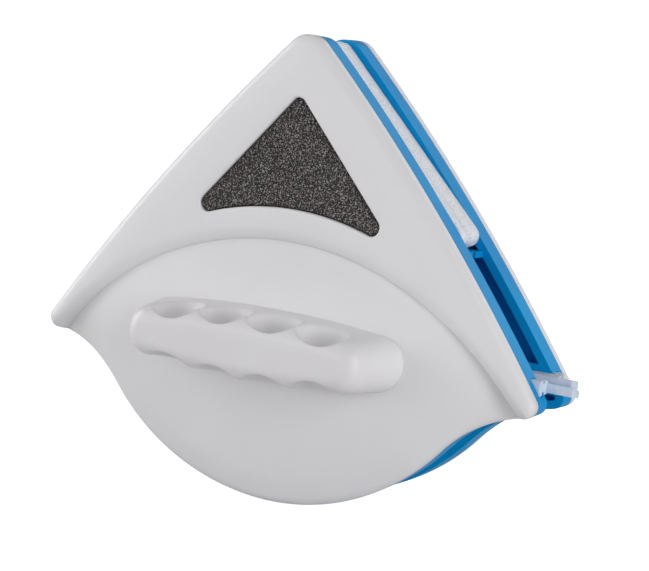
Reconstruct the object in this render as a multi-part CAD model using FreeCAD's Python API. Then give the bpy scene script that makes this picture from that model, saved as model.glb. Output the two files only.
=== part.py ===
# Magnetic glass cleaner: two halves that clamp a pane of glass between them.
# X runs along the squeegees, Y across the pane, Z up to the rounded apex.
# The origin is on the middle plane between the halves, level with the squeegee corners.
# The inner half lies at negative Y, and the outer half is its mirror image at positive Y.
# A "depth" is a distance outwards from the middle plane, so the inner half has y = -depth.

import FreeCAD, Part
import math
import os

from FreeCAD import Matrix, Vector

# ---- Outline of a half, seen along Y -------------------------------------------------
HALF_WIDTH = 91.5          # sharp lower corner, before rounding
APEX_HEIGHT = 108.4        # sharp apex, before rounding
SIDE_BULGE = 3.45          # how far each long side bows outwards
APEX_RADIUS = 7.9
CORNER_RADIUS = 3.8
CORNER_CENTRE_Z = -0.7
BELLY_RADIUS = 79.8
BELLY_CENTRE_Z = 31.2
SHOULDER_RADIUS = 46.0     # hollow curve between each corner and the belly

# ---- Depths outwards from the middle plane -------------------------------------------
PAD_FACE = 0.15            # the two halves' pads stay 0.3 mm apart
ISLAND_FACE = 1.7          # glass side of the magnet housing
RIM = 7.2                  # glass side of the base's outer wall
FLOOR_FACE = 11.7
FLOOR_BACK = 13.7
SPLIT = 14.7               # joint line between base and cover
PANEL_INSIDE = 18.8
PANEL = 20.8
GRIP_FACE = 44.5           # flat face of the handle

# ---- Cover shell ---------------------------------------------------------------------
WALL = 2.0
EDGE_FILLET = 2.8
LENS_RADIUS = 106.2        # arc where the raised panel steps down to the dome
LENS_PEAK_Z = 38.2
DOME_SEMI_AXES = (105.0, 25.5, 62.0)
DOME_CENTRE_Z = -4.0
BOSS_RADIUS = 3.2

# ---- Window and its sponge -----------------------------------------------------------
WINDOW_TOP_Z = 86.4        # sharp corners, before rounding
WINDOW_HALF_WIDTH = 40.9
WINDOW_FOOT_Z = 39.5
WINDOW_ARCH_Z = 48.9       # middle of the arched lower edge
WINDOW_CORNER = 3.0
SPONGE_FACE = 20.1
SPONGE_FLANGE = 2.0
SPONGE_PLAY = 0.15
TRAY_WALL = 1.2
TRAY_BACK = 15.1
TRAY_PLAY = 0.1            # gap round the sponge's flange

# ---- Base plate ----------------------------------------------------------------------
BASE_TAPER = 0.2           # the outer wall leans in by this much towards the glass
RIM_WIDTH = 3.0
BACK_WALL_WIDTH = 2.4
ISLAND_HALF_LENGTH = 40.0
ISLAND_LOW_Z = 9.5
ISLAND_HIGH_Z = 40.2
ISLAND_ROUNDING = 3.0
PAD_STOP_HALF_LENGTH = 58.0
PAD_STOP_THICKNESS = 2.0
PAD_STOP_FACE = 1.2

# ---- Squeegee and its rail -----------------------------------------------------------
BLADE_Z = 4.6              # middle of the blade's foot
RAIL_HALF_HEIGHT = 4.5
FOOT_HALF_HEIGHT = 2.5
FOOT_THICKNESS = 2.7
NECK_HALF_HEIGHT = 1.3
RAIL_LIP = 1.4             # thickness of the rail's overhanging lips
SLOT_PLAY = 0.2            # gap all round the rubber in its rail
BLADE_LEFT_X = -86.5
BLADE_ROOT_RIGHT_X = 89.5
LIP_START = 4.0            # depth where the thin lip starts
LIP_CROSSING = 1.2         # how far each lip reaches over the middle plane
LIP_HALF_START = 1.5
LIP_HALF_TIP = 1.2
LIP_START_LEAN = 0.45      # the inner lip leans down, the outer one up
LIP_TIP_LEAN = 1.6
ROOT_STEP = 0.1            # the root is this much slimmer than the foot, each side

# ---- Pads ----------------------------------------------------------------------------
PAD_TOP_Z = 106.0          # sharp apex of the upper pad
PAD_FOOT_Z = 42.6
PAD_HALF_WIDTH = 62.0
PAD_CORNER = 4.0
LOWER_PAD_TOP_Z = -4.0
LOWER_PAD_INSET = 7.0
PAD_COVER = 5.4            # cloth standing out round the foam core
CLOTH_THICKNESS = 2.0
PAD_LIFT = 0.1             # gap under the foam core

# ---- Magnets and yoke ----------------------------------------------------------------
MAGNET_LENGTH = 36.4
MAGNET_HEIGHT = 26.4
MAGNET_THICKNESS = 9.9
MAGNET_CHAMFER = 0.5
POCKET_PLAY = 0.3
POCKET_FACE = 3.7
WEB_HALF_WIDTH = 1.0       # wall between the two magnets
YOKE_HALF_LENGTH = 46.5
YOKE_LOW_Z = 8.0
YOKE_HIGH_Z = 40.2
YOKE_THICKNESS = 2.0

# ---- Screws --------------------------------------------------------------------------
CASE_SCREW_PLACES = ((0.0, 93.5), (-57.0, 20.0), (57.0, 20.0), (-34.0, -30.0), (34.0, -30.0))
CASE_SCREW_RADIUS = 1.3
CASE_HEAD_RADIUS = 2.8
CASE_HEAD_HEIGHT = 1.6
CASE_SCREW_TIP = 16.4
YOKE_SCREW_PLACES = ((-43.4, 12.5), (43.4, 12.5), (-43.4, 36.5), (43.4, 36.5))
YOKE_SCREW_RADIUS = 1.1
YOKE_HEAD_RADIUS = 2.2
YOKE_HEAD_HEIGHT = 1.4
YOKE_SCREW_TIP = 9.5
YOKE_POST_RADIUS = 2.4
YOKE_POST_FACE = 8.5
GRIP_SCREW_X = 25.0
GRIP_SCREW_RADIUS = 1.4
GRIP_HEAD_RADIUS = 2.8
GRIP_HEAD_HEIGHT = 1.6
GRIP_SCREW_SEAT = 20.3
GRIP_SCREW_TIP = 35.0
GRIP_SEAT_RADIUS = 4.5
SCREW_PLAY = 0.05
RECESS_DEPTH = 0.9         # cross recess in each screw head
RECESS_REACH = 0.6         # share of the head radius
HEAD_ROUNDING = 0.4        # share of the head height

# ---- Handle --------------------------------------------------------------------------
GRIP_Z = 5.0               # middle of the handle, and of its screws
GRIP_ROOT = 20.0
GRIP_ROOT_HALF_LENGTH = 49.0
GRIP_ROOT_HALF_HEIGHT = 12.0
GRIP_ROOT_CORNER = 9.0
GRIP_FACE_HALF_LENGTH = 41.5
GRIP_FACE_HALF_HEIGHT = 10.2
GRIP_FACE_CORNER = 7.6
GRIP_FILLET = 6.0
GRIP_BULGE_RADIUS = 300.0  # long sides of the handle are slightly arched
GROOVE_COUNT = 4
GROOVE_PITCH = 18.0
GROOVE_RADIUS = 10.0
GROOVE_DEPTH = 5.0
GROOVE_LEVEL = 39.0        # depth of the middle of each finger groove
SEAM = 0.05                # gap between handle and dome
CORE_HALF_HEIGHT = 2.6
CORE_END = 41.0
CORE_SPANS = ((-38.0, -30.0), (-20.0, 20.0), (30.0, 38.0))

TOUCH = 0.01               # tolerance for finding edges on a plane

HALVES = (("inner", -1.0, 98.0), ("outer", 1.0, 96.0))   # name, Y side, right end of the lip


def at(x, depth, z):
    """A point of the inner half."""
    return Vector(x, -depth, z)


def unit(dx, dz):
    """Direction from two components."""
    length = math.hypot(dx, dz)
    return dx / length, dz / length


def from_centre(centre, radius, target):
    """Point on a circle in the face plane, on the line from its centre to a target."""
    ux, uz = unit(target[0] - centre[0], target[1] - centre[1])
    return centre[0] + radius * ux, centre[1] + radius * uz


def arc(first, middle, last, depth):
    """Arc edge through three (x, z) points."""
    return Part.Arc(at(first[0], depth, first[1]), at(middle[0], depth, middle[1]),
                    at(last[0], depth, last[1])).toShape()


def mirrored(point):
    """The same (x, z) point on the other side of the middle line."""
    return -point[0], point[1]


def outline_circles():
    """Centres of the circles that make the right half of the outline."""
    mid_x = HALF_WIDTH / 2
    mid_z = APEX_HEIGHT / 2
    chord = math.hypot(HALF_WIDTH, APEX_HEIGHT)
    side_radius = (chord ** 2 / 4 + SIDE_BULGE ** 2) / (2 * SIDE_BULGE)
    nx, nz = unit(APEX_HEIGHT, HALF_WIDTH)
    side = (mid_x - nx * (side_radius - SIDE_BULGE), mid_z - nz * (side_radius - SIDE_BULGE))
    apex = (0.0, side[1] + math.sqrt((side_radius - APEX_RADIUS) ** 2 - side[0] ** 2))
    reach = side_radius - CORNER_RADIUS
    corner = (side[0] + math.sqrt(reach ** 2 - (CORNER_CENTRE_Z - side[1]) ** 2), CORNER_CENTRE_Z)
    belly = (0.0, BELLY_CENTRE_Z)
    far = BELLY_RADIUS + SHOULDER_RADIUS
    near = CORNER_RADIUS + SHOULDER_RADIUS
    between = math.hypot(corner[0] - belly[0], corner[1] - belly[1])
    along = (far ** 2 - near ** 2 + between ** 2) / (2 * between)
    away = math.sqrt(far ** 2 - along ** 2)
    ux, uz = unit(corner[0] - belly[0], corner[1] - belly[1])
    shoulder = (belly[0] + along * ux + away * uz, belly[1] + along * uz - away * ux)
    return side, side_radius, apex, corner, shoulder, belly


def outline(inset, depth):
    """Closed outline wire of a half, moved inwards by inset, at a depth."""
    side, side_radius, apex, corner, shoulder, belly = outline_circles()
    top = (0.0, apex[1] + APEX_RADIUS - inset)
    bottom = (0.0, belly[1] - BELLY_RADIUS + inset)
    side_top = from_centre(side, side_radius - inset, apex)
    side_low = from_centre(side, side_radius - inset, corner)
    side_mid = from_centre(side, side_radius - inset,
                           ((side_top[0] + side_low[0]) / 2, (side_top[1] + side_low[1]) / 2))
    corner_end = from_centre(corner, CORNER_RADIUS - inset, shoulder)
    u1 = unit(side_low[0] - corner[0], side_low[1] - corner[1])
    u2 = unit(corner_end[0] - corner[0], corner_end[1] - corner[1])
    corner_mid = from_centre(corner, CORNER_RADIUS - inset,
                             (corner[0] + u1[0] + u2[0], corner[1] + u1[1] + u2[1]))
    belly_start = from_centre(belly, BELLY_RADIUS - inset, shoulder)
    shoulder_mid = from_centre(shoulder, SHOULDER_RADIUS + inset,
                               ((corner_end[0] + belly_start[0]) / 2,
                                (corner_end[1] + belly_start[1]) / 2))
    edges = [arc(mirrored(side_top), top, side_top, depth)]
    edges.append(arc(side_top, side_mid, side_low, depth))
    edges.append(arc(side_low, corner_mid, corner_end, depth))
    edges.append(arc(corner_end, shoulder_mid, belly_start, depth))
    edges.append(arc(belly_start, bottom, mirrored(belly_start), depth))
    edges.append(arc(mirrored(belly_start), mirrored(shoulder_mid), mirrored(corner_end), depth))
    edges.append(arc(mirrored(corner_end), mirrored(corner_mid), mirrored(side_low), depth))
    edges.append(arc(mirrored(side_low), mirrored(side_mid), mirrored(side_top), depth))
    return Part.Wire(edges)


def raise_face(face, near, far):
    """Solid between two depths from a face that lies at the near one."""
    return face.extrude(Vector(0, near - far, 0))


def outline_prism(inset, near, far):
    """Straight-walled solid on the outline."""
    return raise_face(Part.Face(outline(inset, near)), near, far)


def block(x0, x1, near, far, z0, z1):
    """Box between two depths."""
    return Part.makeBox(x1 - x0, far - near, z1 - z0, Vector(x0, -far, z0))


def rod(x, z, radius, near, far):
    """Cylinder along Y between two depths."""
    return Part.makeCylinder(radius, far - near, at(x, near, z), Vector(0, -1, 0))


def rounded(face, radius):
    """The same face with its outer corners rounded."""
    return face.makeOffset2D(-radius).makeOffset2D(radius)


def dome(shrink):
    """Ellipsoid of the dome, made smaller all round by shrink."""
    semi = [axis - shrink for axis in DOME_SEMI_AXES]
    stretch = Matrix()
    stretch.scale(semi[0] / semi[1], 1.0, semi[2] / semi[1])
    stretch.move(Vector(0, 0, DOME_CENTRE_Z))
    return Part.makeSphere(semi[1]).transformGeometry(stretch)


def lens_disc(radius, near, far):
    """Everything below the arc that bounds the raised panel."""
    return rod(0, LENS_PEAK_Z - LENS_RADIUS, radius, near, far)


# ---- Cover shell ---------------------------------------------------------------------

def outer_form():
    """Outside of the cover as one solid: raised panel above, dome below."""
    slab = outline_prism(0, SPLIT, PANEL)
    rim_edges = [edge for edge in slab.Edges if edge.BoundBox.YMax < TOUCH - PANEL]
    slab = slab.makeFillet(EDGE_FILLET, rim_edges)
    panel = slab.cut(lens_disc(LENS_RADIUS, SPLIT, GRIP_FACE))
    lens = outline_prism(0, SPLIT, GRIP_FACE).common(lens_disc(LENS_RADIUS, SPLIT, GRIP_FACE))
    return panel.fuse(lens.common(dome(0)))


def cavity():
    """Inside of the cover."""
    step = LENS_RADIUS + WALL
    panel = outline_prism(WALL, SPLIT, PANEL_INSIDE).cut(lens_disc(step, SPLIT, GRIP_FACE))
    lens = outline_prism(WALL, SPLIT, GRIP_FACE).common(lens_disc(step, SPLIT, GRIP_FACE))
    return panel.fuse(lens.common(dome(WALL)))


def window_face(grow, depth):
    """Rounded three-sided window face with an arched foot, made larger by grow."""
    top = (0.0, WINDOW_TOP_Z)
    foot = (WINDOW_HALF_WIDTH, WINDOW_FOOT_Z)
    edges = [Part.makeLine(at(top[0], depth, top[1]), at(foot[0], depth, foot[1]))]
    edges.append(arc(foot, (0.0, WINDOW_ARCH_Z), mirrored(foot), depth))
    edges.append(Part.makeLine(at(-foot[0], depth, foot[1]), at(top[0], depth, top[1])))
    face = rounded(Part.Face(Part.Wire(edges)), WINDOW_CORNER)
    if grow:
        face = face.makeOffset2D(grow)
    return face


def cover_shell():
    """White cover with its window, screw bosses and handle screw seats."""
    form = outer_form()
    shell = form.cut(cavity())
    for x, z in CASE_SCREW_PLACES:
        boss = rod(x, z, BOSS_RADIUS, FLOOR_BACK + SCREW_PLAY, PANEL_INSIDE + WALL / 2)
        shell = shell.fuse(boss.common(boss_room(form)))
    for x in (-GRIP_SCREW_X, GRIP_SCREW_X):
        seat = rod(x, GRIP_Z, GRIP_SEAT_RADIUS, GRIP_SCREW_SEAT, GRIP_FACE).common(form)
        shell = shell.fuse(seat)
        shell = shell.cut(rod(x, GRIP_Z, GRIP_SCREW_RADIUS + SCREW_PLAY, SPLIT, GRIP_FACE))
    shell = shell.cut(raise_face(window_face(0, SPLIT), SPLIT, GRIP_FACE))
    for x, z in CASE_SCREW_PLACES:
        hole_end = CASE_SCREW_TIP + WALL / 2
        shell = shell.cut(rod(x, z, CASE_SCREW_RADIUS + SCREW_PLAY, FLOOR_BACK, hole_end))
    return shell.removeSplitter()


def boss_room(form):
    """Space that bosses may fill: the cover's form and the base's hollow back below it."""
    return form.fuse(outline_prism(RIM_WIDTH, FLOOR_BACK, SPLIT))


def window_sponge():
    """Dark sponge with a flange behind the window's edge."""
    neck = PANEL_INSIDE - SCREW_PLAY
    front = raise_face(window_face(-SPONGE_PLAY, neck), neck, SPONGE_FACE)
    back_face = TRAY_BACK + TRAY_WALL + SCREW_PLAY
    flange = raise_face(window_face(SPONGE_FLANGE, back_face), back_face, neck)
    return front.fuse(flange).removeSplitter()


def sponge_tray():
    """Shallow tray glued behind the window, holding the sponge by its flange."""
    front = PANEL_INSIDE - SCREW_PLAY
    inside = TRAY_BACK + TRAY_WALL
    body = raise_face(window_face(SPONGE_FLANGE + TRAY_WALL, TRAY_BACK), TRAY_BACK, front)
    room = raise_face(window_face(SPONGE_FLANGE + TRAY_PLAY, inside), inside, front)
    return body.cut(room)


# ---- Base plate ----------------------------------------------------------------------

def base_plate():
    """Blue tray with the pad pockets, magnet housing, pad stop and squeegee rail."""
    plate = Part.makeLoft([outline(0, SPLIT), outline(BASE_TAPER, RIM)], True, True)
    plate = plate.cut(outline_prism(RIM_WIDTH, RIM - 1.0, FLOOR_FACE))
    plate = plate.cut(outline_prism(BACK_WALL_WIDTH, FLOOR_BACK, SPLIT + 1.0))
    plate = plate.fuse(magnet_housing())
    plate = plate.fuse(pad_stop())
    plate = plate.fuse(rail())
    for x, z in YOKE_SCREW_PLACES:
        plate = plate.fuse(rod(x, z, YOKE_POST_RADIUS, YOKE_POST_FACE, FLOOR_BACK))
    for side in (-1, 1):
        plate = plate.cut(magnet_block(side, POCKET_PLAY / 2, POCKET_FACE, SPLIT))
    plate = plate.cut(rail_slot())
    for x, z in CASE_SCREW_PLACES:
        plate = plate.cut(case_screw(x, z, SCREW_PLAY))
    for x, z in YOKE_SCREW_PLACES:
        plate = plate.cut(rod(x, z, YOKE_SCREW_RADIUS + SCREW_PLAY, YOKE_POST_FACE, FLOOR_BACK))
    return plate.removeSplitter()


def magnet_housing():
    """Raised island that carries the magnets close to the glass."""
    island = block(-ISLAND_HALF_LENGTH, ISLAND_HALF_LENGTH, ISLAND_FACE, FLOOR_BACK,
                   ISLAND_LOW_Z, ISLAND_HIGH_Z)
    upright = [edge for edge in island.Edges if edge.BoundBox.YLength > 1.0]
    return island.makeFillet(ISLAND_ROUNDING, upright)


def pad_stop():
    """Thin wall under the upper pad, from side to side."""
    wall = block(-PAD_STOP_HALF_LENGTH, PAD_STOP_HALF_LENGTH, PAD_STOP_FACE, FLOOR_BACK,
                 ISLAND_HIGH_Z, ISLAND_HIGH_Z + PAD_STOP_THICKNESS)
    return wall.common(outline_prism(BASE_TAPER, PAD_STOP_FACE, FLOOR_BACK))


def rail():
    """Two ribs that hold the squeegee's foot, before the slot is cut."""
    ribs = block(-HALF_WIDTH, HALF_WIDTH, RIM, FLOOR_BACK,
                 BLADE_Z - RAIL_HALF_HEIGHT, BLADE_Z + RAIL_HALF_HEIGHT)
    return ribs.common(outline_prism(BASE_TAPER, RIM, FLOOR_BACK))


def rail_slot():
    """T-shaped slot, open at both ends."""
    foot = FOOT_HALF_HEIGHT + SLOT_PLAY
    neck = NECK_HALF_HEIGHT + SLOT_PLAY
    wide = block(-HALF_WIDTH, HALF_WIDTH, RIM + RAIL_LIP, FLOOR_FACE, BLADE_Z - foot, BLADE_Z + foot)
    narrow = block(-HALF_WIDTH, HALF_WIDTH, RIM - 1.0, FLOOR_FACE, BLADE_Z - neck, BLADE_Z + neck)
    return wide.fuse(narrow)


# ---- Squeegee ------------------------------------------------------------------------

def profile_bar(points, x0, x1):
    """Bar along X from (depth, z) points."""
    corners = [at(x0, depth, z) for depth, z in points]
    face = Part.Face(Part.makePolygon(corners + corners[:1]))
    return face.extrude(Vector(x1 - x0, 0, 0))


def squeegee_blade(lean, right_end):
    """Rubber strip: foot in the rail, thick root and a thin lip that leans up or down."""
    foot_back = FLOOR_FACE - SLOT_PLAY
    foot_front = foot_back - FOOT_THICKNESS
    root_back = RIM - SLOT_PLAY
    root_half = FOOT_HALF_HEIGHT - ROOT_STEP
    start_z = BLADE_Z + lean * LIP_START_LEAN
    tip_z = BLADE_Z + lean * LIP_TIP_LEAN
    root = [(foot_back, BLADE_Z - FOOT_HALF_HEIGHT), (foot_back, BLADE_Z + FOOT_HALF_HEIGHT),
            (foot_front, BLADE_Z + FOOT_HALF_HEIGHT), (foot_front, BLADE_Z + NECK_HALF_HEIGHT),
            (root_back, BLADE_Z + NECK_HALF_HEIGHT), (root_back, BLADE_Z + root_half),
            (LIP_START, start_z + LIP_HALF_START), (LIP_START, start_z - LIP_HALF_START),
            (root_back, BLADE_Z - root_half), (root_back, BLADE_Z - NECK_HALF_HEIGHT),
            (foot_front, BLADE_Z - NECK_HALF_HEIGHT), (foot_front, BLADE_Z - FOOT_HALF_HEIGHT)]
    lip = [(LIP_START + 1.0, start_z - LIP_HALF_START), (LIP_START + 1.0, start_z + LIP_HALF_START),
           (LIP_START, start_z + LIP_HALF_START), (-LIP_CROSSING, tip_z + LIP_HALF_TIP),
           (-LIP_CROSSING, tip_z - LIP_HALF_TIP), (LIP_START, start_z - LIP_HALF_START)]
    bar = profile_bar(root, BLADE_LEFT_X, BLADE_ROOT_RIGHT_X)
    return bar.fuse(profile_bar(lip, BLADE_LEFT_X, right_end)).removeSplitter()


# ---- Pads ----------------------------------------------------------------------------

def upper_pad_face(depth):
    """Straight-sided triangle with rounded corners."""
    corners = [at(0, depth, PAD_TOP_Z), at(PAD_HALF_WIDTH, depth, PAD_FOOT_Z),
               at(-PAD_HALF_WIDTH, depth, PAD_FOOT_Z)]
    return rounded(Part.Face(Part.makePolygon(corners + corners[:1])), PAD_CORNER)


def lower_pad_face(depth):
    """Half-moon inside the belly."""
    radius = BELLY_RADIUS - LOWER_PAD_INSET
    half = math.sqrt(radius ** 2 - (BELLY_CENTRE_Z - LOWER_PAD_TOP_Z) ** 2)
    chord = Part.makeLine(at(-half, depth, LOWER_PAD_TOP_Z), at(half, depth, LOWER_PAD_TOP_Z))
    bow = arc((half, LOWER_PAD_TOP_Z), (0, BELLY_CENTRE_Z - radius), (-half, LOWER_PAD_TOP_Z), depth)
    return rounded(Part.Face(Part.Wire([chord, bow])), PAD_CORNER)


def pad_core(pad_face):
    """Foam block standing on the tray floor."""
    near = PAD_FACE + CLOTH_THICKNESS
    far = FLOOR_FACE - PAD_LIFT
    return raise_face(pad_face(near).makeOffset2D(-PAD_COVER), near, far)


def pad_cloth(pad_face):
    """Pile cloth drawn over the core, down to just above the rim."""
    far = RIM - SLOT_PLAY
    cover = raise_face(pad_face(PAD_FACE), PAD_FACE, far)
    near = PAD_FACE + CLOTH_THICKNESS - SCREW_PLAY
    room = raise_face(pad_face(near).makeOffset2D(SCREW_PLAY - PAD_COVER), near, far + 1.0)
    return cover.cut(room)


# ---- Magnets and yoke ----------------------------------------------------------------

def magnet_block(side, grow, near, far):
    """Block magnet, or the pocket that it sits in."""
    centre_x = side * (WEB_HALF_WIDTH + POCKET_PLAY / 2 + MAGNET_LENGTH / 2)
    centre_z = (ISLAND_LOW_Z + ISLAND_HIGH_Z) / 2
    half_x = MAGNET_LENGTH / 2 + grow
    half_z = MAGNET_HEIGHT / 2 + grow
    return block(centre_x - half_x, centre_x + half_x, near, far, centre_z - half_z, centre_z + half_z)


def magnet(side):
    """One block magnet with its edges broken."""
    bar = magnet_block(side, 0, POCKET_FACE + SCREW_PLAY, POCKET_FACE + SCREW_PLAY + MAGNET_THICKNESS)
    return bar.makeChamfer(MAGNET_CHAMFER, bar.Edges)


def magnet_yoke():
    """Steel plate across the backs of both magnets."""
    plate = block(-YOKE_HALF_LENGTH, YOKE_HALF_LENGTH, FLOOR_BACK, FLOOR_BACK + YOKE_THICKNESS,
                  YOKE_LOW_Z, YOKE_HIGH_Z)
    upright = [edge for edge in plate.Edges if edge.BoundBox.YLength > 1.0]
    plate = plate.makeFillet(ISLAND_ROUNDING, upright)
    for x, z in YOKE_SCREW_PLACES:
        plate = plate.cut(rod(x, z, YOKE_SCREW_RADIUS + SCREW_PLAY, FLOOR_BACK, SPLIT + 1.0))
    return plate


# ---- Screws --------------------------------------------------------------------------

def cross_recess(x, z, reach, near, far):
    """Cross-shaped driver recess."""
    thin = reach / 4
    flat = block(x - reach, x + reach, near, far, z - thin, z + thin)
    return flat.fuse(block(x - thin, x + thin, near, far, z - reach, z + reach))


def case_screw(x, z, grow):
    """Countersunk screw through the base floor, or the hole for it."""
    head_face = FLOOR_FACE - grow
    cone = Part.makeCone(CASE_HEAD_RADIUS + grow, CASE_SCREW_RADIUS + grow, CASE_HEAD_HEIGHT,
                         at(x, head_face + SCREW_PLAY, z), Vector(0, -1, 0))
    return cone.fuse(rod(x, z, CASE_SCREW_RADIUS + grow, head_face + SCREW_PLAY, CASE_SCREW_TIP))


def case_screws():
    """Five screws that hold base and cover together."""
    screws = []
    for x, z in CASE_SCREW_PLACES:
        recess = cross_recess(x, z, CASE_HEAD_RADIUS * RECESS_REACH, FLOOR_FACE, FLOOR_FACE + RECESS_DEPTH)
        screws.append(case_screw(x, z, 0).cut(recess).removeSplitter())
    return Part.makeCompound(screws)


def pan_screw(x, z, radius, head_radius, head_height, seat, tip):
    """Pan head screw whose head lies against the seat; the tip may be on either side."""
    toward = 1.0 if tip > seat else -1.0
    head_far = seat - toward * head_height
    head = rod(x, z, head_radius, min(seat, head_far), max(seat, head_far))
    rim = [edge for edge in head.Edges if edge.Closed and abs(edge.BoundBox.YMin + head_far) < TOUCH]
    head = head.makeFillet(head_height * HEAD_ROUNDING, rim)
    recess_end = head_far + toward * RECESS_DEPTH
    recess = cross_recess(x, z, head_radius * RECESS_REACH,
                          min(head_far, recess_end), max(head_far, recess_end))
    shank = rod(x, z, radius, min(seat, tip), max(seat, tip))
    return head.cut(recess).fuse(shank).removeSplitter()


def yoke_screws():
    """Four screws that hold the yoke on the back of the base."""
    seat = FLOOR_BACK + YOKE_THICKNESS
    return Part.makeCompound([pan_screw(x, z, YOKE_SCREW_RADIUS, YOKE_HEAD_RADIUS, YOKE_HEAD_HEIGHT,
                                        seat, YOKE_SCREW_TIP) for x, z in YOKE_SCREW_PLACES])


def grip_screws():
    """Two screws from inside the cover into the handle."""
    return Part.makeCompound([pan_screw(x, GRIP_Z, GRIP_SCREW_RADIUS, GRIP_HEAD_RADIUS, GRIP_HEAD_HEIGHT,
                                        GRIP_SCREW_SEAT, GRIP_SCREW_TIP)
                              for x in (-GRIP_SCREW_X, GRIP_SCREW_X)])


# ---- Handle --------------------------------------------------------------------------

def grip_outline(half_x, half_z, radius, depth):
    """Long closed wire round the handle, with slightly arched sides and round ends."""
    crown = half_z - GRIP_BULGE_RADIUS
    corner_x = half_x - radius
    corner_z = crown + math.sqrt((GRIP_BULGE_RADIUS - radius) ** 2 - corner_x ** 2)
    meet = from_centre((0.0, crown), GRIP_BULGE_RADIUS, (corner_x, corner_z))
    middle = from_centre((corner_x, corner_z), radius, (half_x, half_z))
    edges = []
    for sx, sz in ((1, 1), (1, -1), (-1, -1), (-1, 1)):
        on_side = (sx * meet[0], GRIP_Z + sz * meet[1])
        on_end = (sx * half_x, GRIP_Z + sz * corner_z)
        between = (sx * middle[0], GRIP_Z + sz * middle[1])
        if sx * sz > 0:
            edges.append(arc(on_side, between, on_end, depth))
            edges.append(Part.makeLine(at(on_end[0], depth, on_end[1]),
                                       at(on_end[0], depth, 2 * GRIP_Z - on_end[1])))
        else:
            edges.append(arc(on_end, between, on_side, depth))
            edges.append(arc(on_side, (0.0, GRIP_Z + sz * half_z), (-on_side[0], on_side[1]), depth))
    return Part.Wire(edges)


def grip_half_height(x, depth):
    """Half height of the handle's arched and drafted sides at a place."""
    share = (depth - GRIP_ROOT) / (GRIP_FACE - GRIP_ROOT)
    middle = GRIP_ROOT_HALF_HEIGHT + share * (GRIP_FACE_HALF_HEIGHT - GRIP_ROOT_HALF_HEIGHT)
    return middle - GRIP_BULGE_RADIUS + math.sqrt(GRIP_BULGE_RADIUS ** 2 - x ** 2)


def handle_grip():
    """Long bar handle with finger grooves on both sides, cored out from behind."""
    root = grip_outline(GRIP_ROOT_HALF_LENGTH, GRIP_ROOT_HALF_HEIGHT, GRIP_ROOT_CORNER, GRIP_ROOT)
    face = grip_outline(GRIP_FACE_HALF_LENGTH, GRIP_FACE_HALF_HEIGHT, GRIP_FACE_CORNER, GRIP_FACE)
    grip = Part.makeLoft([root, face], True, True)
    rim = [edge for edge in grip.Edges if edge.BoundBox.YMax < TOUCH - GRIP_FACE]
    grip = grip.makeFillet(GRIP_FILLET, rim)
    for number in range(GROOVE_COUNT):
        x = (number - (GROOVE_COUNT - 1) / 2) * GROOVE_PITCH
        reach = grip_half_height(x, GROOVE_LEVEL) + GROOVE_RADIUS - GROOVE_DEPTH
        for side in (-1, 1):
            grip = grip.cut(Part.makeSphere(GROOVE_RADIUS, at(x, GROOVE_LEVEL, GRIP_Z + side * reach)))
    grip = grip.cut(dome(-SEAM))
    for x0, x1 in CORE_SPANS:
        grip = grip.cut(block(x0, x1, GRIP_ROOT, CORE_END,
                              GRIP_Z - CORE_HALF_HEIGHT, GRIP_Z + CORE_HALF_HEIGHT))
    for x in (-GRIP_SCREW_X, GRIP_SCREW_X):
        grip = grip.cut(rod(x, GRIP_Z, GRIP_SCREW_RADIUS + SCREW_PLAY, GRIP_ROOT, GRIP_SCREW_TIP + 1.0))
    return grip


# ---- Assembly ------------------------------------------------------------------------

def half_parts():
    """Every piece of the inner half except its squeegee, by name."""
    return {
        "cover_shell": cover_shell(),
        "window_sponge": window_sponge(),
        "sponge_tray": sponge_tray(),
        "handle_grip": handle_grip(),
        "handle_screws": grip_screws(),
        "base_plate": base_plate(),
        "case_screws": case_screws(),
        "magnet_left": magnet(-1),
        "magnet_right": magnet(1),
        "magnet_yoke": magnet_yoke(),
        "yoke_screws": yoke_screws(),
        "upper_pad_core": pad_core(upper_pad_face),
        "upper_pad_cloth": pad_cloth(upper_pad_face),
        "lower_pad_core": pad_core(lower_pad_face),
        "lower_pad_cloth": pad_cloth(lower_pad_face),
    }


def placed(shape, side):
    """The shape on the inner side, or its mirror image on the outer side."""
    return shape if side < 0 else shape.mirror(Vector(0, 0, 0), Vector(0, 1, 0))


def main():
    os.makedirs("parts", exist_ok=True)
    shared = half_parts()
    for half, side, lip_end in HALVES:
        pieces = dict(shared)
        pieces["squeegee_blade"] = squeegee_blade(side, lip_end)
        for name, shape in pieces.items():
            node = half + "_" + name
            placed(shape, side).exportStep("parts/" + node + ".step")
            solids = len(shape.Solids)
            print(node, "valid" if shape.isValid() else "INVALID", solids, round(shape.Volume, 1))


main()
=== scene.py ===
# Looks of the magnetic glass cleaner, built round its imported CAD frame.
# Same frame as the part: X along the squeegees, Y across the glass, Z up to the apex.
# Shapes are worked out in millimetres as (x, depth, z), where depth is measured outwards
# from the middle plane: the inner half has y = -depth and the outer half y = +depth.

import math

import bmesh
import bpy
import numpy as np
from mathutils import Matrix, Vector, noise
from mathutils.geometry import delaunay_2d_cdt


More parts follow.
